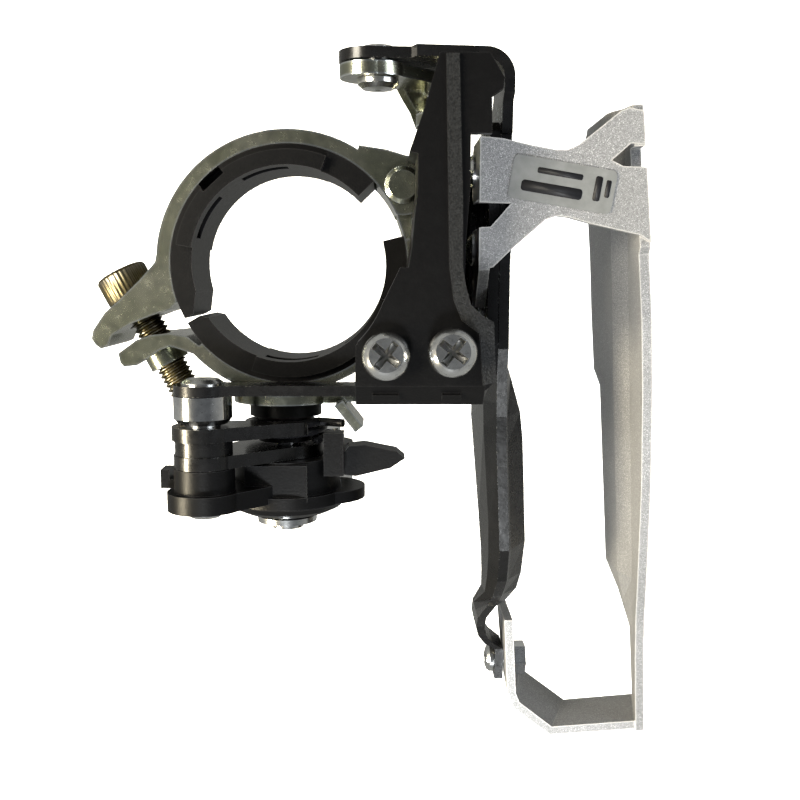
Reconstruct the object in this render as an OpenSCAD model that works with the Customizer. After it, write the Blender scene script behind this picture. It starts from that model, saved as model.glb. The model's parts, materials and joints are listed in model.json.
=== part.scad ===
// Top-swing front derailleur with a hinged seat-tube clamp.
// Origin: centre of the clamp bore. +Z up the seat tube, +X to the drive side, +Y to the front of the bicycle.

/* [Clamp] */
// Diameter of the seat tube inside the shims
tube_d = 28.6; // [28.4:0.1:28.8]
// Bore of the bare steel band
band_bore_d = 34.9; // [34.7:0.1:35.1]
// Height of the band along the seat tube
band_h = 15; // [14:0.5:16]
// Thickness of the strap steel
strap_t = 1.2; // [1.1:0.1:1.4]
// Distance of the clamp bolt from the tube's axis
bolt_offset = 24.3; // [24.1:0.1:24.6]

/* [Linkage] */
// Sideways distance from a base pivot to its cage pivot, cage innermost
link_run = 11; // [10.8:0.1:11.2]
// Height from a base pivot to its cage pivot, cage innermost
link_rise = 11; // [10.8:0.1:11.2]
// Diameter of the rear pivot pins
rear_pin_d = 5; // [4.8:0.1:5]
// Diameter of the front pivot pins
front_pin_d = 4; // [3.8:0.1:4]

/* [Cage] */
// Thickness of the cage steel
cage_t = 1.5; // [1.3:0.1:1.5]
// Height of the bridge's top face over the clamp's middle
bridge_z = 15; // [14.8:0.1:15.2]
// Length from the front of the outer plate to its tail
outer_len = 103.5; // [102:0.5:104]

/* [Hidden] */
$fn = 64;

zinc = "#b9b99f";
plain_black = "#2b2b2d";
gloss_black = "#1c1c1e";
bare_steel = "#c9ccd0";
silver_paint = "#a9acb0";

tube_r = tube_d / 2;
bore_r = band_bore_d / 2;
strap_r = bore_r + strap_t;
flange_r = bore_r + 2.05;
base_t = 1.6;            // steel of the base
half_h = band_h / 2;
run_gap = 0.05;         // radial clearance of a turning fit
split_angle = 207.6;    // direction of the clamp's split, seen from above
hinge_xy = [16.8, 11.5];
lug_r = 4.3;
pad_x = 18.4;           // flat on the strap that the base is welded to

// Pivot axes, all along Y; each pair is [x, z]
rear_base = [-1.5, 0];
rear_cage = [rear_base[0] - link_run, rear_base[1] + link_rise];
front_cage = [13.2, rear_cage[1]];
front_base = [front_cage[0] + link_run, front_cage[1] - link_rise];
eye_x = front_cage[0] - 1.3;   // the front eyes reach past their pivot

// Stations along Y
ear_y = [-21, -19.4];          // base ear of the rear pivot
cage_ear_y = [-18.8, -17.3];   // rear ear of the cage bracket
front_ear_y = [27.9, 29.4];    // front ear of the inner plate
link_front_y = [25.8, 27.6];   // front plate of the front link
link_back_y = [20.6, 22.4];    // rear plate of the front link
base_front_y = [23.3, 25.3];   // front ear of the base
base_back_y = [-17, -15.4];    // rear ear of the long front pin
lever_y = [-35.8, -29.6];      // cable lever moulding

// Limit screws: [x, y] of each axis, and the tip's lowest height
high_xy = [14.3, -12.4];
low_xy = [23.1, -12];
high_tip_z = 6.5;
low_tip_z = 4;
screw_tilt = 8;                // the tips lean to the rear
cover_top = 22;
cover_t = 1.6;
cover_screw_xy = [[22.9, -7.1], [22.9, 4.7]];

web_x = 28.9;                        // left face of the bracket's web
flange_x = web_x - 0.1 - cage_t;     // left face of the bridge's flange
inner_x = web_x + cage_t + 0.1;      // left face of the inner plate
splay = 5.1;                         // the outer plate opens to the rear by this angle
outer_hinge = [50, 3];               // point on the outer plate's inner face that it is turned about
outer_front = 19.4;                  // front end of the outer plate, ahead of that point
plate_end = outer_front - outer_len;
tail_z = [-20.7, -9.2];
tail_at = [-69.8, -15];               // tail screw, [y, z]
anchor_xz = [4, -13];

// ---- helpers ----

// A cylinder along Y between two stations
module pin_y(at, r, y0, y1) {
    translate([at[0], y1, at[1]]) rotate([90, 0, 0]) cylinder(r = r, h = y1 - y0);
}

// A cylinder along X
module pin_x(y, z, r, x0, x1) {
    translate([x0, y, z]) rotate([0, 90, 0]) cylinder(r = r, h = x1 - x0);
}

// A flat plate in the XZ plane between two stations of Y
module plate_y(y0, y1) {
    translate([0, y1, 0]) rotate([90, 0, 0]) linear_extrude(y1 - y0) children();
}

// A flat plate in the YZ plane between two stations of X
module plate_x(x0, x1) {
    translate([x0, 0, 0]) rotate([90, 0, 90]) linear_extrude(x1 - x0) children();
}

// A limit screw's own frame: z up along the screw, zero at the cover's top
module at_screw(p) {
    translate([p[0], p[1], cover_top]) rotate([-screw_tilt, 0, 0]) children();
}

// The clamp's own frame: x radially out through the split, y along the bolt from head to nut
module at_split() {
    rotate(split_angle) children();
}

// A straight bar with a round eye at each end
module bar2d(p, q, rp, rq) {
    d = q - p;
    n = [-d[1], d[0]] / norm(d);
    translate(p) circle(rp);
    translate(q) circle(rq);
    polygon([p + n * rp * 0.94, q + n * rq * 0.94, q - n * rq * 0.94, p - n * rp * 0.94]);
}

// A pie slice from angle a to angle b, as wide as the part needs
module slice2d(a, b, r) {
    steps = 8;
    polygon(concat([[0, 0]], [for (i = [0:steps]) r * [cos(a + (b - a) * i / steps), sin(a + (b - a) * i / steps)]]));
}

// A sector of a ring
module ring2d(ri, ro, a, b) {
    intersection() {
        difference() {
            circle(ro);
            circle(ri);
        }
        slice2d(a, b, ro * 1.4);
    }
}

// The two flanges turned out along the edges of a strap
module strap_flanges(a, b) {
    for (side = [-1, 1])
        translate([0, 0, side * (half_h - strap_t / 2)])
            linear_extrude(strap_t, center = true) ring2d(bore_r - 0.4, flange_r, a, b);
}

// Bent sheet: each station is [y, points], its points the left edge of the section from the top down
module sheet(stations, t) {
    n = len(stations[0][1]);
    ring = 2 * n;
    points = [for (s = stations) each concat([for (p = s[1]) [p[0], s[0], p[1]]],
        [for (i = [n - 1:-1:0]) [s[1][i][0] + t, s[0], s[1][i][1]]])];
    last = ring * (len(stations) - 1);
    sides = [for (i = [0:len(stations) - 2], k = [0:ring - 1], half = [0, 1])
        let (a = i * ring + k, b = i * ring + (k + 1) % ring)
        half == 0 ? [a, a + ring, b + ring] : [a, b + ring, b]];
    first_cap = [for (k = [0:n - 2]) [k, k + 1, ring - 2 - k, ring - 1 - k]];
    last_cap = [for (f = first_cap) [for (i = [3:-1:0]) f[i] + last]];
    polyhedron(points, concat(sides, first_cap, last_cap), convexity = 6);
}

// A recessed pan head with a short cone under it, pointing down from z = 0
module pan_head(r, h) {
    difference() {
        rotate_extrude() polygon([[0, 0], [r, 0], [r, h * 0.45], [r * 0.86, h * 0.8], [r * 0.55, h], [0, h]]);
        for (turn = [0, 90])
            rotate(turn + 38) translate([-r * 0.62, -0.45, h * 0.4]) cube([r * 1.24, 0.9, h]);
    }
}

// ---- root: base, strap and clamp ----

module fixed_ear2d() {
    polygon([[17.35, 4.7], [18.5, 2.2], [20.5, 0.7], [23.2, -0.4], [25.4, -0.7], [28.7, -0.2], [29.1, 1.2],
        [27.4, 1.1], [21.6, 1.1], [19.6, 3.4], [17.5, 5.9]]);
}

module fixed_flange2d() {
    polygon([[17.35, 4.7], [18.5, 2.2], [20.5, 0.7], [23.2, -0.4], [25.4, -0.7], [28.7, -0.2], [29.1, 1.2],
        [28.9, 1.9], [27.2, 2.6], [25.2, 2.5], [23.2, 2.2], [21.4, 2.4], [19.9, 3.9], [18.2, 5.7], [16.8, 7.7]]);
}

module fixed_strap() {
    color(zinc) difference() {
        union() {
            strap_flanges(split_angle + 14, 250);
            linear_extrude(band_h, center = true) intersection() {
                ring2d(bore_r - 0.4, strap_r, split_angle + 14, 372);
                translate([-40, -40]) square([40 + pad_x, 80]);
            }
            // eye of the hinge, between the two lugs of the moving half
            linear_extrude(band_h - 2 * strap_t - 0.8, center = true) {
                translate(hinge_xy) circle(3.9);
                polygon([[16.9, 3], [18.2, 3], [18.2, 7.2], [20.6, 10.8], [15, 12]]);
            }
            at_split() linear_extrude(band_h, center = true) fixed_ear2d();
            at_split() for (side = [-1, 1])
                translate([0, 0, side * (half_h - strap_t / 2)]) linear_extrude(strap_t, center = true) fixed_flange2d();
        }
        cylinder(r = bore_r, h = 40, center = true);
        at_split() translate([bolt_offset, -4, 0]) rotate([-90, 0, 0]) cylinder(r = 2.6, h = 12);
        translate([hinge_xy[0], hinge_xy[1], 0]) cylinder(r = 2.02, h = 40, center = true);
    }
}

module clamp_nut() {
    color(zinc) at_split() translate([bolt_offset, 1.15, 0]) rotate([-90, 0, 0]) difference() {
        cylinder(r = 3.1, h = 3.3);
        translate([0, 0, -1]) cylinder(r = 2.53, h = 6);
    }
}

module hinge_rivet() {
    color(bare_steel) translate([hinge_xy[0], hinge_xy[1], 0]) {
        cylinder(r = 2, h = band_h + 1.2, center = true);
        for (side = [0, 180])
            rotate([side, 0, 0]) translate([0, 0, half_h + 0.15])
                rotate_extrude() polygon([[0, 0], [2.7, 0], [2.7, 0.7], [2.1, 1.1], [0, 1.1]]);
    }
}

module base_bracket() {
    color(zinc) difference() {
        union() {
            // lower plate
            translate([19.3, -21, -9.2]) cube([8.2, base_front_y[1] + 21, base_t]);
            // upright wall against the strap, with two tabs that carry the cover
            translate([pad_x, -9.2, -9.2]) cube([20.8 - pad_x, 16, 18.3]);
            for (p = cover_screw_xy)
                translate([pad_x, p[1] - 2.1, half_h]) cube([p[0] + 2.5 - pad_x, 4.2, base_t]);
            // ears of the long front pin
            plate_y(base_front_y[0], base_front_y[1]) {
                bar2d([front_base[0], -8.4], front_base, 3.2, 3.2);
            }
            plate_y(base_back_y[0], base_back_y[1]) bar2d([front_base[0], -8.4], front_base, 3.2, 3.2);
            // ear of the rear pin
            plate_y(ear_y[0], ear_y[1]) {
                bar2d(rear_base, [9, -2.2], 8, 5);
                polygon([[2, -9.2], [24, -9.2], [24, -4], [14, 2.4], [4, 3]]);
            }
            // bent tab that holds the fixed leg of the spring
            translate([7.8, -20.2, 0]) rotate([0, 0, -52]) translate([0, -1.6, -1]) cube([5, 1.5, 8]);
        }
        pin_y(rear_base, rear_pin_d / 2 + 0.02, -30, -10);
        pin_y(front_base, front_pin_d / 2 + 0.02, -30, 30);
        // the lower plate is trimmed clear of the hinge
        translate([hinge_xy[0], hinge_xy[1], -20]) cylinder(r = lug_r + 0.6, h = 40);
        for (p = cover_screw_xy)
            translate([p[0], p[1], 0]) cylinder(r = 1.55, h = 12);
    }
}

module lower_shim() {
    color(plain_black) difference() {
        union() {
            linear_extrude(band_h, center = true) ring2d(tube_r, bore_r - 0.05, split_angle + 1.9, 374);
            linear_extrude(band_h + 2.4, center = true) ring2d(tube_r, bore_r - 0.9, 250, 340);
        }
        for (a = [270, 320])
            rotate(a) translate([tube_r - 1, -4, 2.5]) cube([2, 8, 3]);
        // the ends of the shims open to a wedge towards the tube
        at_split() linear_extrude(40, center = true) polygon([[13, -1.8], [15.4, 0.4], [13, 2.4]]);
    }
}

module rear_base_pin() {
    color(bare_steel) union() {
        pin_y(rear_base, rear_pin_d / 2, -41.4, -19.35);
    }
}

module pin_washer() {
    color(bare_steel) difference() {
        pin_y(rear_base, 4.7, -40.3, -39.4);
        pin_y(rear_base, rear_pin_d / 2 + 0.02, -42, -38);
    }
}

module front_base_pin() {
    color(bare_steel) union() {
        pin_y(front_base, front_pin_d / 2, -17.6, front_ear_y[0] - 0.1);
        pin_y(front_base, front_pin_d / 2 + 0.9, -18.4, base_back_y[0] - 0.1);
    }
}

module spring_bushing() {
    color(gloss_black) difference() {
        union() {
            pin_y(rear_base, 5.6, -23.2, ear_y[0] - 0.1);
            pin_y(rear_base, 4.4, -27.2, -23.1);
        }
        pin_y(rear_base, rear_pin_d / 2 + 0.02, -30, -18);
    }
}

spring_r = 5.9;
spring_wire = 1.3;
spring_turns = 2.02;
spring_pitch = 1.33;
spring_sides = 8;
spring_steps = 44;

// The coil as one swept tube, its ends turned out as short legs
function spring_point(i) =
    let (a = 34 - 360 * spring_turns * i / spring_steps,
        leg = i == 0 ? 0.8 : i == spring_steps ? 4.4 : 0,
        r = spring_r + leg)
    [rear_base[0] + r * cos(a), -26.75 + spring_pitch * spring_turns * i / spring_steps,
        rear_base[1] + r * sin(a)];
function spring_dir(i) =
    let (d = spring_point(min(i + 1, spring_steps)) - spring_point(max(i - 1, 0)))
    d / norm(d);
function spring_ring(i) =
    let (t = spring_dir(i), u = cross(t, [0, 1, 0]), v = cross(t, u / norm(u)))
    [for (k = [0:spring_sides - 1])
        spring_point(i) + spring_wire / 2 * (cos(360 * k / spring_sides) * u / norm(u) + sin(360 * k / spring_sides) * v)];

module torsion_spring() {
    n = spring_sides;
    points = [for (i = [0:spring_steps]) each spring_ring(i)];
    sides = [for (i = [0:spring_steps - 1], k = [0:n - 1])
        [i * n + k, i * n + (k + 1) % n, (i + 1) * n + (k + 1) % n, (i + 1) * n + k]];
    first = [for (k = [0:n - 1]) n - 1 - k];
    last = [for (k = [0:n - 1]) spring_steps * n + k];
    color(gloss_black) polyhedron(points, concat(sides, [first, last]), convexity = 6);
}

// ---- root: cover and limit screws ----

// The cover seen from above, front part
module cover_front2d() {
    polygon([[17.4, 14.6], [18.5, 14.3], [18.5, 10], [18.1, 6.4], [17.7, 2], [16.9, -2.6], [16.1, -5.8],
        [14.6, -7.4], [24.6, -8.5], [24.9, 3], [25.4, 10], [25.4, 16.9], [28.2, 16.9], [28.1, 21.6],
        [29.6, 22.6], [29.7, 24], [27.8, 27.1], [21.3, 27.1], [19.4, 20.3]]);
}

// The cover seen from above, screw block
module cover_block2d() {
    difference() {
        polygon([[12.6, -7.8], [11.2, -9.1], [10.2, -11], [10.1, -16.4], [27.3, -16.4], [29.2, -15.9],
            [28.7, -7.7], [27.2, -7], [25.6, -5.4], [24.9, -2.9], [24.5, -0.5], [16.2, -0.5]]);
        circle(tube_r + 0.5);
    }
}

module body_cover() {
    color(plain_black) difference() {
        union() {
            translate([0, 0, cover_top - cover_t]) linear_extrude(cover_t) cover_front2d();
            translate([0, 0, cover_top - 3.2]) linear_extrude(3.2) cover_block2d();
            // sloping rear face
            translate([10.1, 0, 0]) rotate([90, 0, 90]) linear_extrude(17.6)
                polygon([[-16.3, 22], [-19.3, 18.8], [-16.3, 18.8]]);
            // raised marks on the sloping face, one for each limit screw
            for (mark = [[14.2, 3.6], [23.2, 2.6]])
                translate([mark[0] - mark[1] / 2, -18, 20.45]) rotate([46.8, 0, 0])
                    translate([0, -0.6, -0.5]) cube([mark[1], 1.2, 0.75]);
            // side walls behind the barb
            translate([0, 0, 9.4]) linear_extrude(12) intersection() {
                cover_front2d();
                difference() {
                    translate([15.8, -5.6]) square([8.8, 25.4]);
                    translate([19.6, -20]) square([3.4, 60]);
                }
            }
            // raised stripe along the top
            translate([0, 0, cover_top - 0.5]) linear_extrude(1) cover_stripe2d();
            // pillars for the limit screws and for the cover's own screws
            for (p = [high_xy, low_xy])
                at_screw(p) translate([0, 0, -11.6]) cylinder(r = 2.8, h = 10);
            for (p = cover_screw_xy)
                translate([p[0], p[1], 9.15]) cylinder(r = 2.1, h = 12);
        }
        for (p = [high_xy, low_xy])
            at_screw(p) cylinder(r = 2.03, h = 60, center = true);
        for (p = cover_screw_xy)
            translate([p[0], p[1], 5]) cylinder(r = 1.27, h = 12.4);
        cylinder(r = tube_r + 0.4, h = 60);
        // room for the front link's eye as it swings up
        translate([20, 25.3, 19]) cube([12, 5, 2]);
    }
}

module cover_stripe2d() {
    polygon([[22.1, 26.9], [23.8, 26.9], [24.4, 8.3], [24.5, -0.5], [24.9, -2.9], [25.6, -5.4], [27.2, -7],
        [28.7, -7.7], [29.1, -15.8], [27.3, -16.2], [26.8, -9.3], [24.4, -7.5], [23.3, -4.8], [22.7, -0.4]]);
}

module cover_screws() {
    color(bare_steel) for (p = cover_screw_xy)
        translate([p[0], p[1], half_h - 0.1]) {
            mirror([0, 0, 1]) pan_head(2, 1.7);
            translate([0, 0, -0.1]) cylinder(r = 1.25, h = 9);
        }
}

module screw_grip() {
    color("#d8d6cf") difference() {
        translate([11.8, -16.7, 8.9]) cube([14.6, 5.6, 1.2]);
        for (p = [high_xy, low_xy])
            at_screw(p) cylinder(r = 2.03, h = 60, center = true);
    }
}

module limit_screw(p, tip_z, lift) {
    tip = tip_z - cover_top;
    color(bare_steel) at_screw(p) {
        translate([0, 0, lift]) pan_head(3.3, 2.3);
        translate([0, 0, tip + 2.1]) cylinder(r = 2, h = lift - tip - 2);
        // a slim point, so that the tip passes outside the strap
        translate([0, 0, tip + 1.4]) cylinder(r1 = 1.3, r2 = 2, h = 0.71);
        translate([0, 0, tip]) cylinder(r = 1.3, h = 1.5);
    }
}

module high_limit_screw() { limit_screw(high_xy, high_tip_z, 0.6); }

module low_limit_screw() { limit_screw(low_xy, low_tip_z, 1.6); }

// ---- moving half of the clamp ----

module band_gusset2d() {
    polygon([[15.2, -10.4], [16.2, -10.7], [17.3, -9.4], [20.6, -8.2], [24.9, -6.95], [27.4, -6.4], [30.3, -4.9],
        [31.1, -3.9], [31, -2.9], [30.6, -2], [29.5, -1.9], [28.1, -3], [24.9, -3.2], [21.4, -2.8], [18.8, -2.3],
        [17.3, -2.8], [16.6, -4.5]]);
}

module clamp_band() {
    color(zinc) difference() {
        union() {
            strap_flanges(52, split_angle - 16);
            linear_extrude(band_h, center = true) ring2d(bore_r - 0.4, strap_r, 44, split_angle - 16);
            // from the last flange to the hinge lug
            linear_extrude(band_h, center = true)
                polygon([[11.4, 16.6], [14.8, 15.6], [18.6, 15.2], [15, 9.6], [12, 11.6], [10, 13.6]]);
            for (side = [-1, 1])
                translate([0, 0, side * (half_h - strap_t / 2)]) linear_extrude(strap_t, center = true) {
                    translate(hinge_xy) circle(lug_r);
                    polygon([[10.4, 17.2], [14.4, 16.6], [18.4, 15.4], [18, 7.4], [15, 9.5], [12.2, 12.6], [9.6, 14.7]]);
                    rotate(split_angle) band_gusset2d();
                }
            // ear that takes the bolt
            at_split() linear_extrude(band_h, center = true)
                polygon([[16.9, -4.4], [18.8, -3.9], [21.4, -4.3], [24.9, -4.7], [28.3, -4.5], [30.3, -4.7], [31.1, -3.9],
                    [31, -2.9], [30.6, -2], [29.5, -1.9], [28.1, -3], [24.9, -3.2], [21.4, -2.8], [18.8, -2.3], [17.3, -2.8]]);
            // round seat under the bolt's head
            at_split() translate([bolt_offset, -6.5, 0]) rotate([-90, 0, 0]) cylinder(r = 4.7, h = 3);
        }
        cylinder(r = bore_r, h = 40, center = true);
        at_split() translate([bolt_offset, -20, 0]) rotate([-90, 0, 0]) cylinder(r = 2.85, h = 30);
        translate([hinge_xy[0], hinge_xy[1], 0]) cylinder(r = 2 + run_gap, h = 40, center = true);
        // the hinge lug is a fork around the strap's own eye
        translate([hinge_xy[0], hinge_xy[1], 0]) cylinder(r = lug_r + 0.5, h = band_h - 2 * strap_t, center = true);
    }
}

module upper_shim() {
    color(plain_black) difference() {
        union() {
            linear_extrude(band_h, center = true) ring2d(tube_r, bore_r - 0.05, 44, split_angle - 0.6);
            linear_extrude(band_h + 2.4, center = true) ring2d(tube_r, bore_r - 0.9, 70, 170);
        }
        // clip notch and recess
        rotate(132) translate([bore_r - 1.6, -2, 5]) cube([4, 4, 6]);
        rotate(105) translate([tube_r - 1, -3.5, 3]) cube([2, 7, 3]);
        rotate(150) translate([tube_r - 1, -3.5, 3]) cube([2, 7, 3]);
        at_split() linear_extrude(40, center = true) polygon([[12, -4], [14.2, -2.7], [16.2, 0.2], [12, 2.4]]);
    }
}

module clamp_bolt() {
    color("#c0b183") at_split() translate([bolt_offset, 0, 0]) rotate([-90, 0, 0]) {
        translate([0, 0, -11.6]) difference() {
            rotate_extrude() polygon([[0, 0], [3.4, 0], [4, 0.6], [4, 4.8], [0, 4.8]]);
            translate([0, 0, -1]) cylinder(r = 2.3, h = 3.6, $fn = 6);
        }
        translate([0, 0, -7]) cylinder(r = 2.45, h = 19);
    }
}

// ---- rear link ----

module rear_link() {
    color(gloss_black) difference() {
        union() {
            plate_y(-29.5, -27.6) bar2d(rear_cage, rear_base, 4.4, 6);
            plate_y(-25.4, -23.4) difference() {
                bar2d(rear_cage, [rear_base[0] + 2, rear_base[1] + 7], 4.6, 2);
                translate(rear_base) circle(7.2);
            }
            pin_y(rear_cage, 4.2, -29.5, -23.4);
        }
        pin_y(rear_cage, rear_pin_d / 2 + run_gap, -32, -20);
        pin_y(rear_base, rear_pin_d / 2 + run_gap, -32, -20);
    }
}

module cable_lever() {
    color(plain_black) difference() {
        union() {
            // boss and plate at the cage pivot
            pin_y(rear_cage, 4.45, -33.2, lever_y[1]);
            plate_y(-35.8, -33.1) bar2d(rear_cage, rear_base, 5.5, 5.5);
            // hub with its rear flange
            pin_y(rear_base, 8.4, -35, lever_y[1]);
            plate_y(-36.7, -34.9) bar2d(rear_base, [4.6, -1], 9.4, 6.3);
            // box on top of the hub
            translate([-7, -35.6, 2]) cube([9.4, 5.6, 6.6]);
            // pointed arm
            translate([0, 0, 0.4]) linear_extrude(4.2)
                polygon([[4, -31.6], [6.8, -29.9], [8.6, -27.7], [11, -27.5], [15.9, -28.5], [17.2, -29.6],
                    [15, -31.1], [9.6, -32.4]]);
            // knob that holds the moving leg of the spring
            translate([6.3, -28.6, 5.2]) cube([3, 6.6, 3.4], center = true);
            // hook for the cable at the outer end
            translate([-19, -32.8, 7.6]) cube([5, 1.3, 3.4]);
            translate([-19, -32.8, 7.6]) cube([1.3, 2.8, 3.4]);
            // arm that carries the cable anchor
            plate_y(-32.6, -29.8) bar2d(rear_base, anchor_xz, 7, 4.6);
        }
        pin_y(rear_cage, rear_pin_d / 2 + run_gap, -40, -20);
        pin_y(rear_base, rear_pin_d / 2 + run_gap, -40, -20);
        pin_y(anchor_xz, 2.53, -40, -20);
        // flat for the anchor's washer
        pin_y(anchor_xz, 4.7, -40, -32.5);
    }
}

module dome_cap() {
    color(plain_black) translate([rear_base[0], -36.8, rear_base[1]]) rotate([90, 0, 0]) difference() {
        rotate_extrude() polygon([[0, 0], [9.3, 0], [8.6, 0.9], [6.9, 1.7], [4.8, 2.3], [0, 2.5]]);
        translate([0, 0, -1]) cylinder(r = rear_pin_d / 2 + run_gap, h = 6);
    }
}

module anchor_bolt() {
    color(bare_steel) difference() {
        union() {
            pin_y(anchor_xz, 2.5, -34.2, -27.4);
            translate([anchor_xz[0], -34.1, anchor_xz[1]]) rotate([90, 0, 0]) cylinder(r = 4.5, h = 3, $fn = 6);
        }
    }
}

module anchor_washer() {
    color(bare_steel) difference() {
        pin_y(anchor_xz, 4.5, -34, -33);
        pin_y(anchor_xz, 2.53, -36, -30);
        // groove that the cable lies in
        translate([anchor_xz[0] - 2.9, -32.9, anchor_xz[1]]) cylinder(r = 0.6, h = 12, center = true);
    }
}

// ---- front link ----

module front_link() {
    color(zinc) difference() {
        union() {
            plate_y(link_front_y[0], link_front_y[1]) {
                bar2d(front_cage, front_base, 3.9, 3.6);
                translate([eye_x, front_cage[1]]) circle(4.1);
            }
            plate_y(link_back_y[0], link_back_y[1])
                bar2d(front_base + 2.4 * [-0.707, 0.707], front_base, 3.7, 3.6);
            // web that joins the two plates on the lower side
            translate([front_base[0], link_back_y[0], front_base[1]]) rotate([0, -45, 0])
                translate([-3.9, 0, 0]) rotate([90, 0, 90]) linear_extrude(1.5)
                    polygon([[0, 0.6], [2.2, 0.6], [2.2, 2.6], [7, 2.6], [7, 8.4], [5.4, 7.9], [3.9, 6.6],
                        [2.2, 4.9], [0, 3.6]]);
            // long sleeve on the base pin
            pin_y(front_base, 3.05, -15.2, link_back_y[0] + 0.2);
            // arm that meets the high-limit screw
            plate_y(-15.2, -14.05) bar2d(front_base, front_base + 9.6 * [cos(209), sin(209)], 3, 1.3);
            // lug that meets the low-limit screw
            plate_y(-15.2, -12.6) translate(front_base) polygon([[1.25, 0], [1.25, 7.8], [2.6, 7.8], [3, 0.4]]);
        }
        pin_y(front_base, front_pin_d / 2 + run_gap, -20, 30);
        pin_y(front_cage, front_pin_d / 2 + run_gap, 20, 30);
    }
}

// ---- cage ----

corner_r = 4;                          // bends of the bracket and of the inner plate
rivet_web = [[16, 0], [-7.5, 0]];      // inner plate to bracket, [y, z]
rivet_bridge = [[13.5, 7], [2.2, 7]];  // bridge flange to bracket and inner plate

// A quarter bend whose outer face is at x
module bent_corner(x, y, turn, z0, z1) {
    translate([x - corner_r, y, z0]) rotate(turn)
        rotate_extrude(angle = 90) translate([corner_r - cage_t, 0]) square([cage_t, z1 - z0]);
}

module cage_rivet_holes() {
    for (p = concat(rivet_web, rivet_bridge))
        pin_x(p[0], p[1], 1.52, 20, 40);
}

module cage_bracket() {
    web_back = cage_ear_y[0] + corner_r;
    bend_x = web_x + cage_t - corner_r;
    color(gloss_black) difference() {
        union() {
            // rear ear over the strap, then down to the web
            plate_y(cage_ear_y[0], cage_ear_y[1]) {
                intersection() {
                    translate(rear_cage) circle(4.2);
                    translate([-20, 8]) square(20);
                }
                polygon([[-12.5, 8.2], [-12.5, 14.4], [-6, 13.6], [bend_x, 13.6], [bend_x, 4.2], [20, 4.2], [13, 8.2]]);
            }
            bent_corner(web_x + cage_t, web_back, -90, 4.2, 12.6);
            plate_x(web_x, web_x + cage_t)
                polygon([[web_back, 4.2], [web_back, 12.6], [18.5, 12.6], [20, 10.6], [20, 0], [17, -5.1],
                    [-7, -5.1], [-8, -3]]);
            // stiffening lip along the web's lower edge
            translate([25.6, -7, -5.1]) cube([web_x + 0.2 - 25.6, 23.6, 1.5]);
        }
        pin_y(rear_cage, rear_pin_d / 2 + 0.02, -22, -10);
        cage_rivet_holes();
    }
}

// Sections of the inner plate behind the bracket: an opening bulge, then the foot that takes the tail screw
function inner_flat(y, x, top, low) =
    [y, [for (k = [0, 0.2, 0.4, 0.6, 0.8, 1]) [x, top + (low - top) * k]]];
inner_stations = [
    inner_flat(-12, inner_x, 12.4, -11.5),
    [-17, [[30.6, 10.4], [30.7, 9.4], [31.9, 4.5], [31.9, -3], [30.7, -9], [30.5, -23]]],
    [-22.5, [[30.8, 9], [31, 8.2], [33.6, 3.2], [33.6, -3.6], [30.8, -11], [30.2, -26.5]]],
    [-27, [[30.9, 8.4], [31.2, 7.5], [34.2, 2.4], [34.2, -4], [30.9, -11], [30, -25]]],
    [-44, [[31.9, 5.9], [32.3, 5], [35.2, 0], [35.2, -5], [31.9, -10.5], [30.8, -16.6]]],
    [-50, [[32, 2.6], [32.4, 1.6], [35, -2.4], [35, -6.2], [32, -11], [31.2, -16]]],
    [-53.5, [[31.7, -0.8], [32.1, -1.8], [34.6, -4.8], [34.6, -7.8], [31.9, -11.6], [31.3, -15.9]]],
    [-56.5, [[31.2, -4.4], [31.5, -5.4], [33.3, -7.8], [33.3, -9.2], [31.6, -12], [31.3, -16]]],
    inner_flat(-59.5, 29.9, -7, -17),
    inner_flat(-62, 29.9, -9.4, -19),
    inner_flat(-64.2, 30.4, -11, -19.8),
    inner_flat(-65.9, 31.6, -11.6, -19.8),
    inner_flat(-67.1, 33.5, -12, -18.6),
    inner_flat(-72.6, 33.5, -12.2, -18)];

module inner_plate() {
    web_front = front_ear_y[1] - corner_r;
    bend_x = inner_x + cage_t - corner_r;
    color(gloss_black) difference() {
        union() {
            plate_y(front_ear_y[0], front_ear_y[1]) {
                translate([eye_x, front_cage[1]]) circle(4.2);
                polygon([[eye_x, 6.8], [eye_x, 15.1], [17.8, 14.8], [18.5, 16.3], [bend_x, 15.3], [bend_x, 2],
                    [22, 4]]);
            }
            bent_corner(inner_x + cage_t, web_front, 0, 2, 15.3);
            plate_x(inner_x, inner_x + cage_t)
                polygon([[web_front, 2], [web_front, 15.3], [23.4, 15.3], [22.4, 13.6], [18.2, 13.2], [18.2, 12.6],
                    [-12.1, 12.6], [-12.1, -11.5], [2, -8], [18, -4]]);
            sheet(inner_stations, cage_t);
        }
        pin_y(front_cage, front_pin_d / 2 + 0.02, 25, 35);
        cage_rivet_holes();
        pin_x(tail_at[0], tail_at[1], 1.52, 20, 40);
    }
}

module bridge2d() {
    difference() {
        polygon([[flange_x, 17.5], [30.5, 17.2], [34.5, 16.3], [37.8, 15.7], [39.4, 15.7], [41, 16.4], [46.6, 20.9],
            [47.8, 21.4], [49.84, 21], [50.64, 12.1], [51.44, 3.1], [49.8, 4.1], [43.1, 5.6], [39.8, 6.5], [38.2, 6.7],
            [36.6, 6.2], [32.2, 2.4], [29.3, -0.4], [flange_x, -0.8]]);
        polygon([[26, 8.6], [31.7, 8.4], [28.9, 5.2], [26, 5]]);
        polygon([[45.6, 14.3], [48.2, 16.6], [55, 16.2], [55, 13.2], [47.2, 13.5]]);
    }
}

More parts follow.
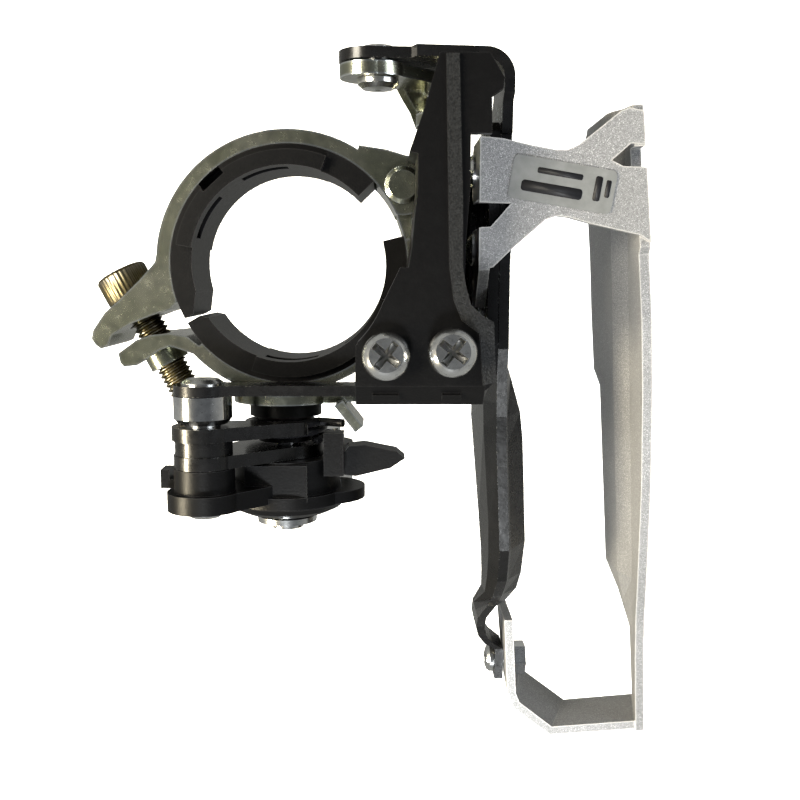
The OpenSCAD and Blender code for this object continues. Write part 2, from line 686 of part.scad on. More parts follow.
// Sections of the outer plate in its own turned frame: top, crease, shelf and foot, left face
side_top = bridge_z - 0.6;
outer_stations = [
    [outer_front + 0.1, [[0, side_top], [0, 9.6], [-1.3, 4.6], [-1.6, -11]]],
    [-0.6, [[0, side_top], [0, 7.4], [-1.3, 2.4], [-1.6, -11.8]]],
    [-1.6, [[0, 13.4], [0, 7.2], [-1.3, 2.2], [-1.6, -11.9]]],
    [-11, [[0, 13], [0, 5.6], [-1.3, 0.6], [-1.6, -13.5]]],
    [-20.5, [[0, 11.4], [0, 3.9], [-1.3, -1.1], [-1.6, -14.3]]],
    [-22.9, [[0, 10.9], [0, 3.5], [-1.3, -1.5], [-1.6, -10.3]]],
    [-37, [[0, 7.3], [0, 1], [-1.3, -4], [-1.6, -12.1]]],
    [-54.3, [[0, 1.2], [0, -2.2], [-1.3, -7], [-1.6, -14.3]]],
    [-60.6, [[0, -1.2], [0.3, -5], [0.1, -10], [0.6, -16]]],
    [-68.8, [[0.1, -3.9], [1, -8], [1.9, -13], [2.8, -18.2]]],
    [plate_end, [[0.5, -8.4], [1.2, -12], [2.1, -16.4], [3, tail_z[0]]]]];

// Tail, from the flange on the inner plate round to the outer side; each station gives
// [x, y] of the outer and inner face at the top, then of the inner and outer face at the foot
tail_stations = [
    [[34.75, -60.8], [36.25, -60.8], [36.25, -60.8], [34.75, -60.8]],
    [[35.45, -74], [36.95, -74], [37.4, -73.6], [35.9, -73.6]],
    [[36.6, -76.9], [37.6, -75.7], [39.3, -74.2], [38.3, -75.4]],
    [[43.1, -81.75], [43.4, -80.25], [47.6, -80.5], [47.3, -82]],
    [[58.5, -80.7], [58.5, -79.2], [61, -79.4], [61, -80.9]]];

module tail() {
    points = [for (s = tail_stations, k = [0:3]) [s[k][0], s[k][1], tail_z[k < 2 ? 1 : 0]]];
    last = 4 * (len(tail_stations) - 1);
    sides = [for (i = [0:len(tail_stations) - 2], k = [0:3], half = [0, 1])
        let (a = 4 * i + k, b = 4 * i + (k + 1) % 4)
        half == 0 ? [a, b, b + 4] : [a, b + 4, a + 4]];
    polyhedron(points, concat(sides, [[3, 2, 1, 0], [last, last + 1, last + 2, last + 3]]), convexity = 4);
}

module outer_plate() {
    color(silver_paint) difference() {
        union() {
            // roof of the cage
            translate([0, 0, bridge_z - cage_t]) linear_extrude(cage_t) bridge2d();
            // flange riveted to the bracket: a front tongue and a rear leg
            plate_x(flange_x, flange_x + cage_t) {
                polygon([[17.4, bridge_z], [17.4, 5], [16, 3.4], [10.4, 3.4], [9, 5], [9, bridge_z]]);
                polygon([[5, bridge_z], [-0.8, bridge_z], [-6.2, 9.6], [-6.2, 5], [-4.6, 3.4], [3.6, 3.4], [5, 4.6]]);
            }
            // long outer side
            translate([outer_hinge[0], outer_hinge[1], 0]) rotate(splay) intersection() {
                sheet(outer_stations, cage_t);
                plate_x(-10, 10)
                    polygon([[18, 30], [13.8, 30], [13.2, 12], [10.4, 12], [9.8, 30], [plate_end - 2, 30],
                        [plate_end - 2, -30], [12, -30], [14, -11], [17.5, -10], [19, -8], [outer_front, 6]]);
            }
            tail();
        }
        for (p = rivet_bridge)
            pin_x(p[0], p[1], 1.52, 20, 32);
        pin_x(tail_at[0], tail_at[1], 1.52, 30, 40);
    }
}

module rivet_x(p, x0, x1, head) {
    pin_x(p[0], p[1], 1.5, x0 - 0.3, x1 + 0.3);
    translate([x0, p[0], p[1]]) rotate([0, -90, 0])
        rotate_extrude() polygon([[0, 0], [head, 0], [head, 0.4], [head * 0.7, 0.95], [0, 1.2]]);
    pin_x(p[0], p[1], head * 0.8, x1, x1 + 0.6);
}

module plate_rivets() {
    color(bare_steel) for (p = rivet_web) rivet_x(p, web_x, inner_x + cage_t, 2.2);
}

module bridge_rivets() {
    color(bare_steel) for (p = rivet_bridge) rivet_x(p, flange_x, inner_x + cage_t, 2.4);
}

module rear_cage_pin() {
    color(bare_steel) union() {
        pin_y(rear_cage, rear_pin_d / 2, -36.2, cage_ear_y[1] + 0.3);
        translate([rear_cage[0], cage_ear_y[1], rear_cage[1]]) rotate([-90, 0, 0])
            rotate_extrude() polygon([[0, 0], [3.1, 0], [3.1, 0.3], [2.4, 0.8], [0, 0.9]]);
        translate([rear_cage[0], -35.9, rear_cage[1]]) rotate([90, 0, 0])
            rotate_extrude() polygon([[0, 0], [2.9, 0], [2.9, 0.6], [2.2, 1.1], [0, 1.1]]);
    }
}

module spacer_collar() {
    color(bare_steel) difference() {
        translate([rear_cage[0], cage_ear_y[0] - 0.1, rear_cage[1]]) rotate([90, 0, 0])
            rotate_extrude() polygon([[0, 0], [4.25, 0], [4.25, 3.3], [3.6, 4.1], [0, 4.1]]);
        pin_y(rear_cage, rear_pin_d / 2 + 0.02, -30, -10);
    }
}

module front_cage_rivet() {
    color(bare_steel) union() {
        pin_y(front_cage, front_pin_d / 2, link_front_y[0] - 0.4, front_ear_y[1] + 0.3);
        translate([front_cage[0], link_front_y[0] - 0.1, front_cage[1]]) rotate([90, 0, 0])
            rotate_extrude() polygon([[0, 0], [2.9, 0], [2.9, 0.7], [2.2, 1.3], [0, 1.5]]);
        translate([front_cage[0], front_ear_y[1], front_cage[1]]) rotate([-90, 0, 0])
            rotate_extrude() polygon([[0, 0], [2.9, 0], [2.9, 0.3], [2.2, 0.7], [0, 0.8]]);
    }
}

module tail_screw() {
    color(bare_steel) union() {
        pin_x(tail_at[0], tail_at[1], 1.5, 33.1, 39.2);
        translate([33.4, tail_at[0], tail_at[1]]) rotate([0, -90, 0]) pan_head(2.4, 1.4);
    }
}

module tail_nut() {
    color(bare_steel) difference() {
        translate([37.2, tail_at[0], tail_at[1]]) rotate([0, 90, 0]) cylinder(r = 3, h = 1.9, $fn = 6);
        pin_x(tail_at[0], tail_at[1], 1.52, 30, 45);
    }
}

module sticker() {
    color("#8f9194") translate([38.8, 11, bridge_z]) rotate(-9.5) linear_extrude(0.2) {
        square([14.6, 4.4], center = true);
        square([13, 6], center = true);
        for (x = [-6.5, 6.5], y = [-2.2, 2.2]) translate([x, y]) circle(0.8);
    }
}

base_bracket();
fixed_strap();
clamp_nut();
lower_shim();
hinge_rivet();
rear_base_pin();
pin_washer();
front_base_pin();
spring_bushing();
torsion_spring();
body_cover();
cover_screws();
screw_grip();
high_limit_screw();
low_limit_screw();
clamp_band();
upper_shim();
clamp_bolt();
rear_link();
cable_lever();
dome_cap();
anchor_bolt();
anchor_washer();
front_link();
cage_bracket();
inner_plate();
outer_plate();
plate_rivets();
bridge_rivets();
rear_cage_pin();
spacer_collar();
front_cage_rivet();
tail_screw();
tail_nut();
sticker();
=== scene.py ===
"""Front derailleur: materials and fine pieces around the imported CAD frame, in metres."""
import json
import math

import bpy
from mathutils import Matrix, Vector


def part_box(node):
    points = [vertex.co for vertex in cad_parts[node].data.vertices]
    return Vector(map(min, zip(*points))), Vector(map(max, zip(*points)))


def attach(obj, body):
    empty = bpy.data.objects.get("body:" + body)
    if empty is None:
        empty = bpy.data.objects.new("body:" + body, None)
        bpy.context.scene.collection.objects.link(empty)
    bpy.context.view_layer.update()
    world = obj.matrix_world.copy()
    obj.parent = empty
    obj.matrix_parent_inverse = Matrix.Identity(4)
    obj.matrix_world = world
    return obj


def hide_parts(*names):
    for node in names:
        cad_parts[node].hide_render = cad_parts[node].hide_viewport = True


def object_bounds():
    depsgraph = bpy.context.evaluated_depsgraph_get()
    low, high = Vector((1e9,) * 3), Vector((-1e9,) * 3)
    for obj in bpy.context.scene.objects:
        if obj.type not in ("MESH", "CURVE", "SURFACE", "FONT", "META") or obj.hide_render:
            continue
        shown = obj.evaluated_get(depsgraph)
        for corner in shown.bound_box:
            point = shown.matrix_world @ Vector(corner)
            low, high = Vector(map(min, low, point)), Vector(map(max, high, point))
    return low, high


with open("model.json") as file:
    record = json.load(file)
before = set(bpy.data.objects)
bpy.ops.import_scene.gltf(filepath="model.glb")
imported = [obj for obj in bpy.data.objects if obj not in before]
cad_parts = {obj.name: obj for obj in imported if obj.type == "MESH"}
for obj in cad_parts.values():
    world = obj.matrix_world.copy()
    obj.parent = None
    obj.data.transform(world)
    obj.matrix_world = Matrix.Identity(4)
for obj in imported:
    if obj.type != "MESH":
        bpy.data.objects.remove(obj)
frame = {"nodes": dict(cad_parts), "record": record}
cad_low, cad_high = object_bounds()
nodes = frame["nodes"]
record = frame["record"]
joint_of = {joint["name"]: joint for joint in record["behaviour"]["joints"]}
MM = 0.001

# ---- camera: looks down the seat tube, tipped a little to the rear ----

CAMERA_AT = Vector((14.15, -1.5, 151.3)) * MM
SENSOR = 36                        # width in mm
LENS = 43.425                      # focal length in mm
LEAN_REAR = math.radians(7.3806)   # away from straight down, towards -Y
LEAN_RIGHT = math.radians(0.8905)  # and towards +X


def make_camera():
    data = bpy.data.cameras.new("camera")
    data.sensor_width = SENSOR
    data.lens = LENS
    data.clip_start = 0.005
    camera = bpy.data.objects.new("camera", data)
    bpy.context.scene.collection.objects.link(camera)
    down = Vector((0, 0, -1))
    tip = down.rotation_difference(Vector((math.tan(LEAN_RIGHT), -math.tan(LEAN_REAR), -1)))
    camera.matrix_world = Matrix.Translation(CAMERA_AT) @ tip.to_matrix().to_4x4()
    bpy.context.scene.camera = camera


make_camera()


# ---- floor and light ----

def area_light(name, at, towards, size, power, colour):
    data = bpy.data.lights.new(name, "AREA")
    data.energy = power
    data.color = colour
    data.size = size
    lamp = bpy.data.objects.new(name, data)
    bpy.context.scene.collection.objects.link(lamp)
    lamp.location = at
    lamp.rotation_euler = (Vector(towards) - Vector(at)).to_track_quat("-Z", "Y").to_euler()


def make_floor():
    """A pale floor with a light of its own, which neither lights the part nor shows in it."""
    half, height = 3, cad_low.z - 20 * MM
    mesh = bpy.data.meshes.new("floor")
    corners = [(x * half, y * half, height) for x, y in ((-1, -1), (1, -1), (1, 1), (-1, 1))]
    mesh.from_pydata(corners, [], [(0, 1, 2, 3)])
    floor = bpy.data.objects.new("floor", mesh)
    bpy.context.scene.collection.objects.link(floor)
    mat = bpy.data.materials.new("floor")
    mat.use_nodes = True
    shader = mat.node_tree.nodes["Principled BSDF"]
    shader.inputs["Base Color"].default_value = (0.95, 0.95, 0.95, 1)
    shader.inputs["Roughness"].default_value = 0.9
    shader.inputs["Emission Color"].default_value = (1, 1, 1, 1)
    shader.inputs["Emission Strength"].default_value = 0.75
    mesh.materials.append(mat)
    floor.visible_diffuse = False
    floor.visible_glossy = False


def make_world():
    """Grey round the horizon and a darker ceiling, so that faces turned up stay rich in tone."""
    world = bpy.data.worlds.new("world")
    bpy.context.scene.world = world
    world.use_nodes = True
    tree = world.node_tree
    place = tree.nodes.new("ShaderNodeTexCoord")
    split = tree.nodes.new("ShaderNodeSeparateXYZ")
    ramp = tree.nodes.new("ShaderNodeValToRGB")
    tree.links.new(place.outputs["Generated"], split.inputs[0])
    tree.links.new(split.outputs["Z"], ramp.inputs["Fac"])
    tree.links.new(ramp.outputs["Color"], tree.nodes["Background"].inputs["Color"])
    low, high = ramp.color_ramp.elements
    low.position, low.color = 0.1, (0.34, 0.34, 0.32, 1)
    high.position, high.color = 0.8, (0.1, 0.105, 0.11, 1)
    tree.nodes["Background"].inputs["Strength"].default_value = 1.0


bpy.context.scene.view_settings.view_transform = "Standard"
make_floor()
make_world()
CENTRE = (0.02, -0.02, 0)        # what the lights aim at
area_light("key", (-0.23, 0.08, 0.23), CENTRE, 0.14, 2.2, (1, 0.93, 0.78))
area_light("flash", (-0.013, -0.24, 0.27), CENTRE, 0.08, 1.7, (0.95, 0.98, 1))
area_light("fill", (0.26, 0.08, 0.2), CENTRE, 0.16, 0.5, (0.9, 0.95, 1))
area_light("low", (-0.26, -0.1, 0.15), (0.05, -0.04, 0), 0.08, 2.0, (1, 0.88, 0.64))


# ---- materials ----

class Nodes:
    """Builds a material's node tree a link at a time."""

    def __init__(self, name):
        self.mat = bpy.data.materials.new(name)
        self.mat.use_nodes = True
        self.tree = self.mat.node_tree
        self.shader = self.tree.nodes["Principled BSDF"]
        self.place = self.add("ShaderNodeTexCoord").outputs["Object"]

    def add(self, kind, inputs=None, **settings):
        node = self.tree.nodes.new(kind)
        for key, value in settings.items():
            setattr(node, key, value)
        for key, value in (inputs or {}).items():
            if isinstance(value, bpy.types.NodeSocket):
                self.tree.links.new(value, node.inputs[key])
            else:
                node.inputs[key].default_value = value
        return node

    def noise(self, scale, detail, rough, stretch=None):
        """Noise between 0 and 1; scale is in features a metre."""
        where = self.place
        if stretch:
            where = self.add("ShaderNodeMapping", {"Vector": where, "Scale": stretch}).outputs[0]
        return self.add("ShaderNodeTexNoise", {"Vector": where, "Scale": scale, "Detail": detail,
                                               "Roughness": rough}).outputs["Fac"]

    def ramp(self, fac, stops):
        node = self.add("ShaderNodeValToRGB", {"Fac": fac})
        elements = node.color_ramp.elements
        while len(elements) < len(stops):
            elements.new(0.5)
        for element, (at, colour) in zip(elements, stops):
            element.position = at
            element.color = (*colour, 1)
        return node.outputs["Color"]

    def mix(self, fac, a, b):
        node = self.add("ShaderNodeMix", data_type="RGBA")
        for key, value in ((0, fac), (6, a), (7, b)):
            if isinstance(value, bpy.types.NodeSocket):
                self.tree.links.new(value, node.inputs[key])
            else:
                node.inputs[key].default_value = value if key == 0 else (*value, 1)
        return node.outputs[2]

    def sum(self, a, b, operation="ADD"):
        return self.add("ShaderNodeMath", {0: a, 1: b}, operation=operation).outputs[0]

    def span(self, fac, low, high, start=0.0, end=1.0):
        return self.add("ShaderNodeMapRange", {"Value": fac, "From Min": start, "From Max": end,
                                               "To Min": low, "To Max": high}).outputs["Result"]

    def height_above(self, level):
        """1 above a level of the object's own z, 0 below it."""
        z = self.add("ShaderNodeSeparateXYZ", {0: self.place}).outputs["Z"]
        return self.span(z, 0, 1, level, level + 0.05 * MM)

    def edges(self, reach):
        """1 on outer edges, 0 on flats, from the bevel node against the true normal."""
        soft = self.add("ShaderNodeBevel", {"Radius": reach}, samples=6).outputs["Normal"]
        hard = self.add("ShaderNodeNewGeometry").outputs["True Normal"]
        dot = self.add("ShaderNodeVectorMath", {0: soft, 1: hard}, operation="DOT_PRODUCT").outputs["Value"]
        return self.span(dot, 1.0, 0.0, 0.72, 0.99)

    def bump(self, height, strength, distance):
        node = self.add("ShaderNodeBump", {"Height": height, "Strength": strength, "Distance": distance})
        self.tree.links.new(node.outputs["Normal"], self.shader.inputs["Normal"])

    def set(self, **values):
        for key, value in values.items():
            socket = self.shader.inputs[key.replace("_", " ")]
            if isinstance(value, bpy.types.NodeSocket):
                self.tree.links.new(value, socket)
            else:
                socket.default_value = (*value, 1) if isinstance(value, tuple) and len(value) == 3 else value
        return self.mat


def zinc_plate(name, base, tint):
    """Passivated zinc: a soft metal sheen with faint colour clouds, dark pinholes and a painted highlight
    along its edges.
    """
    n = Nodes(name)
    clouds = n.noise(110, 4, 0.6)
    colour = n.mix(n.span(clouds, 0, 1, 0.38, 0.66), base, tint)
    streaks = n.noise(900, 3, 0.7, (1, 0.15, 1))
    colour = n.mix(n.span(streaks, 0, 0.35, 0.5, 0.8), colour, tuple(c * 1.5 for c in base))
    specks = n.noise(3200, 2, 0.6)
    colour = n.mix(n.span(specks, 0, 0.5, 0.66, 0.78), colour, (0.1, 0.1, 0.08))
    rim = n.edges(0.0007)
    # Pale blue-white on the edges: a painted highlight.
    colour = n.mix(rim, colour, (0.9, 0.94, 0.95))
    rough = n.sum(n.span(n.noise(700, 4, 0.7), 0.16, 0.34), n.span(rim, 1, 0.7), "MULTIPLY")
    n.bump(n.noise(1500, 4, 0.6), 0.3, 0.00007)
    return n.set(Base_Color=colour, Roughness=rough, Metallic=1.0, Coat_Weight=0.5, Coat_Roughness=0.1)


def bright_steel(name, base, low=0.1, high=0.26):
    """Turned and plated steel with smears and small dark marks of handling, and a painted highlight along its
    edges.
    """
    n = Nodes(name)
    smears = n.noise(240, 4, 0.6)
    colour = n.mix(n.span(smears, 0, 1, 0.4, 0.75), base, tuple(c * 0.6 for c in base))
    colour = n.mix(n.span(n.noise(1900, 3, 0.6), 0, 0.6, 0.6, 0.74), colour, tuple(c * 0.25 for c in base))
    # Paler on the edges: a painted highlight.
    colour = n.mix(n.span(n.edges(0.00025), 0, 0.5), colour, (0.9, 0.9, 0.9))
    rough = n.span(n.noise(900, 5, 0.7), low, high)
    n.bump(n.noise(2400, 3, 0.6), 0.25, 0.00005)
    return n.set(Base_Color=colour, Roughness=rough, Metallic=1.0)


def black_plastic(name, base, grain, rough_low, rough_high, rub=0.07, stripe=None):
    """Moulded plastic with an etched grain, paler where it rubs."""
    n = Nodes(name)
    dust = n.noise(420, 5, 0.65)
    colour = n.mix(n.span(dust, 0, 0.25, 0.5, 0.85), base, tuple(c * 2 + 0.002 for c in base))
    colour = n.mix(n.span(n.edges(0.0002), 0, 0.3), colour, (rub, rub, rub * 1.03))
    rough = n.span(n.noise(1400, 4, 0.7), rough_low, rough_high)
    relief = n.noise(grain, 3, 0.55)
    if stripe:
        mask = n.height_above(stripe)
        coarse = n.noise(4200, 2, 0.6)
        grey = n.ramp(coarse, [(0.3, (0.004, 0.0042, 0.0044)), (0.62, (0.015, 0.0155, 0.016))])
        colour = n.mix(mask, colour, grey)
        relief = n.sum(relief, n.sum(mask, n.sum(coarse, 4, "MULTIPLY"), "MULTIPLY"))
    n.bump(relief, 0.45, 0.00006)
    return n.set(Base_Color=colour, Roughness=rough, Specular_IOR_Level=0.14)


def black_paint(name):
    """Glossy stoved paint with orange peel, and chips down to the steel on its edges."""
    n = Nodes(name)
    worn = n.span(n.sum(n.edges(0.0003), n.noise(2200, 4, 0.7), "MULTIPLY"), 0, 1, 0.56, 0.62)
    patches = n.span(n.noise(300, 4, 0.6), 0, 1, 0.4, 0.8)
    colour = n.mix(patches, (0.0028, 0.0028, 0.003), (0.006, 0.006, 0.0065))
    colour = n.mix(worn, colour, (0.11, 0.11, 0.105))
    rough = n.span(n.noise(800, 4, 0.6), 0.2, 0.36)
    n.bump(n.noise(900, 2, 0.5), 0.35, 0.00008)
    return n.set(Base_Color=colour, Roughness=rough, Specular_IOR_Level=0.3, Coat_Weight=0.2,
                 Coat_Roughness=0.14)


def silver_paint(name):
    """Metallic paint: fine sparkle of flakes under a satin surface, with a painted highlight along its edges.
    """
    n = Nodes(name)
    cells = n.add("ShaderNodeTexVoronoi", {"Vector": n.place, "Scale": 11000.0}).outputs["Color"]
    flake = n.add("ShaderNodeSeparateColor", {"Color": cells}).outputs["Red"]
    colour = n.ramp(flake, [(0.0, (0.15, 0.15, 0.155)), (0.5, (0.235, 0.235, 0.24)),
                            (0.92, (0.34, 0.34, 0.34)), (1.0, (0.62, 0.62, 0.62))])
    colour = n.mix(n.span(n.noise(70, 3, 0.6), 0, 0.3, 0.42, 0.7), colour, (0.17, 0.17, 0.165))
    colour = n.mix(n.span(n.noise(1300, 3, 0.65), 0, 0.3, 0.56, 0.75), colour, (0.1, 0.1, 0.1))
    # Paler on the edges: a painted highlight.
    colour = n.mix(n.span(n.edges(0.0005), 0, 0.7), colour, (0.74, 0.72, 0.68))
    rough = n.span(flake, 0.34, 0.5)
    n.bump(n.sum(flake, n.noise(2600, 3, 0.6)), 0.3, 0.00005)
    return n.set(Base_Color=colour, Roughness=rough, Metallic=0.35)


def printed_foil(name):
    """Satin foil label, a shade darker than the paint, with faint dust."""
    n = Nodes(name)
    colour = n.mix(n.span(n.noise(500, 4, 0.6), 0, 1, 0.3, 0.8), (0.2, 0.205, 0.2), (0.27, 0.275, 0.27))
    rough = n.span(n.noise(1500, 3, 0.6), 0.34, 0.48)
    n.bump(n.noise(2600, 2, 0.5), 0.25, 0.00004)
    return n.set(Base_Color=colour, Roughness=rough, Metallic=0.5)


STRIPE_LEVEL = 22.2 * MM         # between the cover's flat top and its raised stripe

LOOKS = {
    "zinc": zinc_plate("zinc", (0.22, 0.23, 0.17), (0.36, 0.365, 0.3)),
    "bare_steel": bright_steel("bare_steel", (0.78, 0.79, 0.79), 0.14, 0.3),
    "bolt_steel": bright_steel("bolt_steel", (0.11, 0.088, 0.036), 0.26, 0.44),
    "collar_steel": bright_steel("collar_steel", (0.74, 0.75, 0.76), 0.08, 0.2),
    "spring_steel": black_plastic("spring_steel", (0.007, 0.007, 0.008), 2600, 0.2, 0.35),
    "black_plastic": black_plastic("black_plastic", (0.0026, 0.0026, 0.0028), 3600, 0.3, 0.44),
    "grip_plastic": black_plastic("grip_plastic", (0.42, 0.4, 0.36), 1800, 0.4, 0.55, 0.5),
    "black_paint": black_paint("black_paint"),
    "silver_paint": silver_paint("silver_paint"),
    "sticker": printed_foil("sticker"),
}
COVER_LOOK = black_plastic("cover_plastic", (0.0024, 0.0024, 0.0026), 3600, 0.28, 0.42, 0.04, STRIPE_LEVEL)
# The screws' cross recesses: the same steel painted darker, as painted shade in the hollows.
RECESS_SHADE_LOOK = bright_steel("recess_painted_shade", (0.32, 0.32, 0.31), 0.22, 0.4)
PRINT_LOOK = black_plastic("print_black", (0.012, 0.012, 0.014), 2200, 0.35, 0.5, 0.02)

# ---- the CAD nodes: soft edges and their finish ----

# width in mm
PLAIN_BEVEL = 0.15
BEVELS = {"body_cover": 0.4, "cable_lever": 0.4, "outer_plate": 0.35, "inner_plate": 0.3, "cage_bracket": 0.3,
          "clamp_band": 0.5, "fixed_strap": 0.45, "front_link": 0.4, "base_bracket": 0.3, "rear_link": 0.35,
          "upper_shim": 0.3, "lower_shim": 0.3, "dome_cap": 0.3, "clamp_nut": 0.3, "sticker": 0.04,
          "spacer_collar": 0.3}


def soft_edges(obj, width):
    bevel = obj.modifiers.new("soft_edges", "BEVEL")
    bevel.width = width * MM
    bevel.segments = 3
    bevel.limit_method = "ANGLE"
    bevel.angle_limit = math.radians(35)
    bevel.harden_normals = True


def dress_cad():
    slot_of = {row["node"]: row["material_slot"] for row in record["subparts"]}
    for name, node in nodes.items():
        node.data.materials.clear()
        node.data.materials.append(COVER_LOOK if name == "body_cover" else LOOKS[slot_of[name]])
        soft_edges(node, BEVELS.get(name, PLAIN_BEVEL))


dress_cad()


# ---- fine pieces ----

def axle(node_name, direction):
    """(start, length) of a node's own axis along a direction, from the reach of its vertices."""
    node = nodes[node_name]
    along = Vector(direction).normalized()
    side = along.cross(Vector((1, 0, 0)) if abs(along.x) < 0.8 else Vector((0, 0, 1))).normalized()
    other = along.cross(side)
    points = [node.matrix_world @ v.co for v in node.data.vertices]
    reach = [[p.dot(d) for p in points] for d in (along, side, other)]
    middle = [(min(r) + max(r)) / 2 for r in reach]
    start = along * min(reach[0]) + side * middle[1] + other * middle[2]
    return start, max(reach[0]) - min(reach[0])


def mesh_object(name, verts, faces, look, smooth_to=40):
    mesh = bpy.data.meshes.new(name)
    mesh.from_pydata(verts, [], faces)
    mesh.shade_smooth()
    mesh.set_sharp_from_angle(angle=math.radians(smooth_to))
    mesh.materials.append(look)
    obj = bpy.data.objects.new(name, mesh)
    bpy.context.scene.collection.objects.link(obj)
    return obj


def stack_rings(rings, count):
    """Faces over rings of equal count, each a (height, radius function) pair in mm; both ends are closed."""
    verts = []
    for height, radius in rings:
        for i in range(count):
            turn = math.tau * i / count
            verts.append(Vector((radius(turn) * math.cos(turn), radius(turn) * math.sin(turn), height)) * MM)
    faces = []
    for level in range(len(rings) - 1):
        for i in range(count):
            j = (i + 1) % count
            a, b = level * count, (level + 1) * count
            faces.append((a + i, a + j, b + j, b + i))
    last = (len(rings) - 1) * count
    faces.append(tuple(range(count - 1, -1, -1)))
    faces.append(tuple(range(last, last + count)))
    return verts, faces


def thread(radius, pitch, low, high, first):
    """A helical V thread between two heights in mm; its vertices are numbered from first."""
    steps = 28
    root = radius - 0.6 * pitch
    profile = ((root, 0.0), (radius, 0.42 * pitch), (radius, 0.58 * pitch), (root, pitch))
    turns = int((high - low) / pitch) * steps
    verts, faces = [], []
    for i in range(turns + 1):
        turn = math.tau * i / steps
        lead = min(1, i / steps, (turns - i) / steps + 0.02)
        for r, z in profile:
            size = root + (r - root) * lead
            height = min(low + pitch * i / steps + z, high)
            verts.append(Vector((size * math.cos(turn), size * math.sin(turn), height)) * MM)
    for i in range(turns):
        for k in range(3):
            a = first + 4 * i + k
            faces.append((a, a + 4, a + 5, a + 1))
    return verts, faces


def circle_of(radius):
    return lambda turn: radius


def hexagon_of(apothem):
    return lambda turn: apothem / math.cos((turn % (math.pi / 3)) - math.pi / 6)


def knurl_of(radius, depth, teeth):
    return lambda turn: radius - depth * (0.5 + 0.5 * math.cos(teeth * turn))


def cross_of(length, half_width):
    """Outline of a cross recess: four arms with square ends, set askew as the screws stopped."""
    def radius(turn):
        lean = abs((turn + math.radians(38) + math.pi / 4) % (math.pi / 2) - math.pi / 4)
        return min(length / math.cos(lean), half_width / max(math.sin(lean), 1e-6))
    return radius


def stand_upright(obj, at, axis):
    obj.matrix_world = Matrix.Translation(at) @ Vector(axis).to_track_quat("Z", "X").to_matrix().to_4x4()


def make_clamp_bolt():
    """Socket-head bolt: knurled head, hexagon socket and a rolled thread. Sizes in mm, point at 0."""
    outward = Vector(joint_of["clamp_bolt_travel"]["axis"])
    start, length = axle("clamp_bolt", outward)
    top = length / MM
    under_head = top - 4.6
    thread_end = under_head - 4.2
    shank, core = circle_of(2.42), circle_of(2.02)
    socket, knurl = hexagon_of(2), knurl_of(3.95, 0.12, 36)
    rings = [(0, circle_of(1.6)), (0.5, core), (thread_end - 0.1, core), (thread_end + 0.2, shank),
             (under_head, shank), (under_head, circle_of(3.4)), (under_head + 0.15, circle_of(3.75)),
             (under_head + 0.45, knurl), (top - 0.5, knurl), (top - 0.15, circle_of(3.65)),
             (top, circle_of(3.2)), (top, socket), (top - 2.6, socket)]
    verts, faces = stack_rings(rings, 144)
    more_verts, more_faces = thread(2.45, 0.8, 0.3, thread_end, len(verts))
    bolt = mesh_object("clamp_bolt_threaded", verts + more_verts, faces + more_faces,
                       LOOKS["bolt_steel"])
    stand_upright(bolt, start, outward)
    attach(bolt, "bolt")
    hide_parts("clamp_bolt")


def make_limit_screw(node_name, body, joint_name):
    """Pan-head screw with a cross recess, threaded down to its slim point. Sizes in mm, point at 0."""
    upward = Vector(joint_of[joint_name]["axis"])
    start, length = axle(node_name, upward)
    top = length / MM
    sides = 120
    point, core, head = circle_of(1.3), circle_of(1.66), circle_of(3.28)
    outside = [(0, circle_of(1.2)), (0.2, point), (1.45, point), (2.1, core), (top - 2.4, core),
               (top - 2.3, circle_of(3.1)), (top - 2.1, head), (top - 1.35, head),
               (top - 0.75, circle_of(3.02)), (top - 0.3, circle_of(2.55)), (top - 0.08, circle_of(2.3))]
    recess = [(top - 0.05, cross_of(2.1, 0.5)), (top - 0.2, cross_of(2.0, 0.46)),
              (top - 1.4, cross_of(1.7, 0.4)), (top - 1.7, cross_of(0.6, 0.2))]
    verts, faces = stack_rings(outside + recess, sides)
    more_verts, more_faces = thread(2, 0.7, 2.1, top - 2.35, len(verts))
    screw = mesh_object(node_name + "_cross", verts + more_verts, faces + more_faces,
                        LOOKS["bare_steel"], 30)
    screw.data.materials.append(RECESS_SHADE_LOOK)
    walls = (len(outside) + len(recess) - 1) * sides
    floor_of_recess = walls + 1
    # The recess walls and floor take the painted shade.
    for face in screw.data.polygons[len(outside) * sides:walls]:
        face.material_index = 1
    screw.data.polygons[floor_of_recess].material_index = 1
    stand_upright(screw, start, upward)
    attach(screw, body)
    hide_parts(node_name)


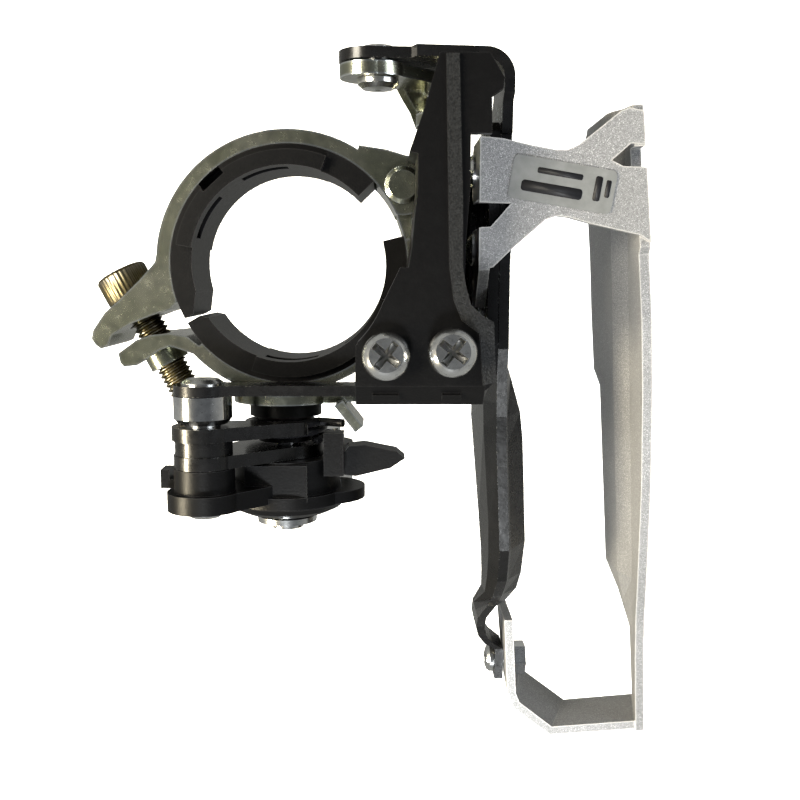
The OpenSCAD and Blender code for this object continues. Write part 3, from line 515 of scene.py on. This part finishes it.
def make_spring():
    """The torsion spring as one smooth round wire with two short legs."""
    low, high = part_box("torsion_spring")
    pivot = Vector(joint_of["rear_link_swing"]["pos_m"])
    coil_radius, wire_radius, turns = 5.9, 0.65, 2.02
    y_back, y_front = low.y / MM + wire_radius, high.y / MM - wire_radius
    first_turn = math.radians(34)
    short_leg, long_leg = 0.8, 4.4
    steps = 180
    points = []
    for i in range(steps + 1):
        turn = first_turn - math.tau * turns * i / steps
        points.append((turn, coil_radius, y_back + (y_front - y_back) * i / steps))
    points.insert(0, (points[0][0], coil_radius + short_leg, points[0][2]))
    points.append((points[-1][0], coil_radius + long_leg, points[-1][2]))
    data = bpy.data.curves.new("spring_coil", "CURVE")
    data.dimensions = "3D"
    data.bevel_depth = wire_radius * MM
    data.bevel_resolution = 5
    data.use_fill_caps = True
    line = data.splines.new("POLY")
    line.points.add(len(points) - 1)
    for point, (turn, r, y) in zip(line.points, points):
        point.co = (pivot.x + r * math.cos(turn) * MM, y * MM, pivot.z + r * math.sin(turn) * MM, 1)
    line.use_smooth = True
    data.materials.append(LOOKS["spring_steel"])
    spring = bpy.data.objects.new("spring_coil", data)
    bpy.context.scene.collection.objects.link(spring)
    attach(spring, "rear_arm")
    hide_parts("torsion_spring")


# (x, y, width, height) of each bar in mm, from the middle of the label
BARS = ((-1.4, -1.0, 8.6, 1.5), (-0.6, 1.35, 6.4, 0.8), (4.9, 0.2, 1.0, 3.4), (6.3, 0.4, 0.7, 2.4))
LABEL_TURN = math.radians(-9.5)
INK = 0.02 * MM


def make_label_bars():
    """Plain printed bars on the label, in place of any words."""
    low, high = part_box("sticker")
    centre = (low + high) / 2
    tilt = Matrix.Rotation(LABEL_TURN, 4, "Z")
    verts, faces = [], []
    steps = 5
    for x, y, wide, tall in BARS:
        first = len(verts)
        corner = min(wide, tall) * 0.3
        for side_x, side_y, start in ((1, 1, 0), (-1, 1, 90), (-1, -1, 180), (1, -1, 270)):
            middle_x = x + side_x * (wide / 2 - corner)
            middle_y = y + side_y * (tall / 2 - corner)
            for k in range(steps):
                a = math.radians(start + 90 * k / (steps - 1))
                point = Vector((middle_x + corner * math.cos(a), middle_y + corner * math.sin(a), 0))
                verts.append(point * MM)
        faces.append(tuple(range(first, len(verts))))
    bars = mesh_object("label_bars", verts, faces, PRINT_LOOK)
    bars.matrix_world = Matrix.Translation((centre.x, centre.y, high.z + INK)) @ tilt
    solid = bars.modifiers.new("ink", "SOLIDIFY")
    solid.thickness = INK
    solid.offset = 1
    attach(bars, "cage")


make_clamp_bolt()
make_limit_screw("high_limit_screw", "high_screw", "high_screw_travel")
make_limit_screw("low_limit_screw", "low_screw", "low_screw_travel")
make_spring()
make_label_bars()
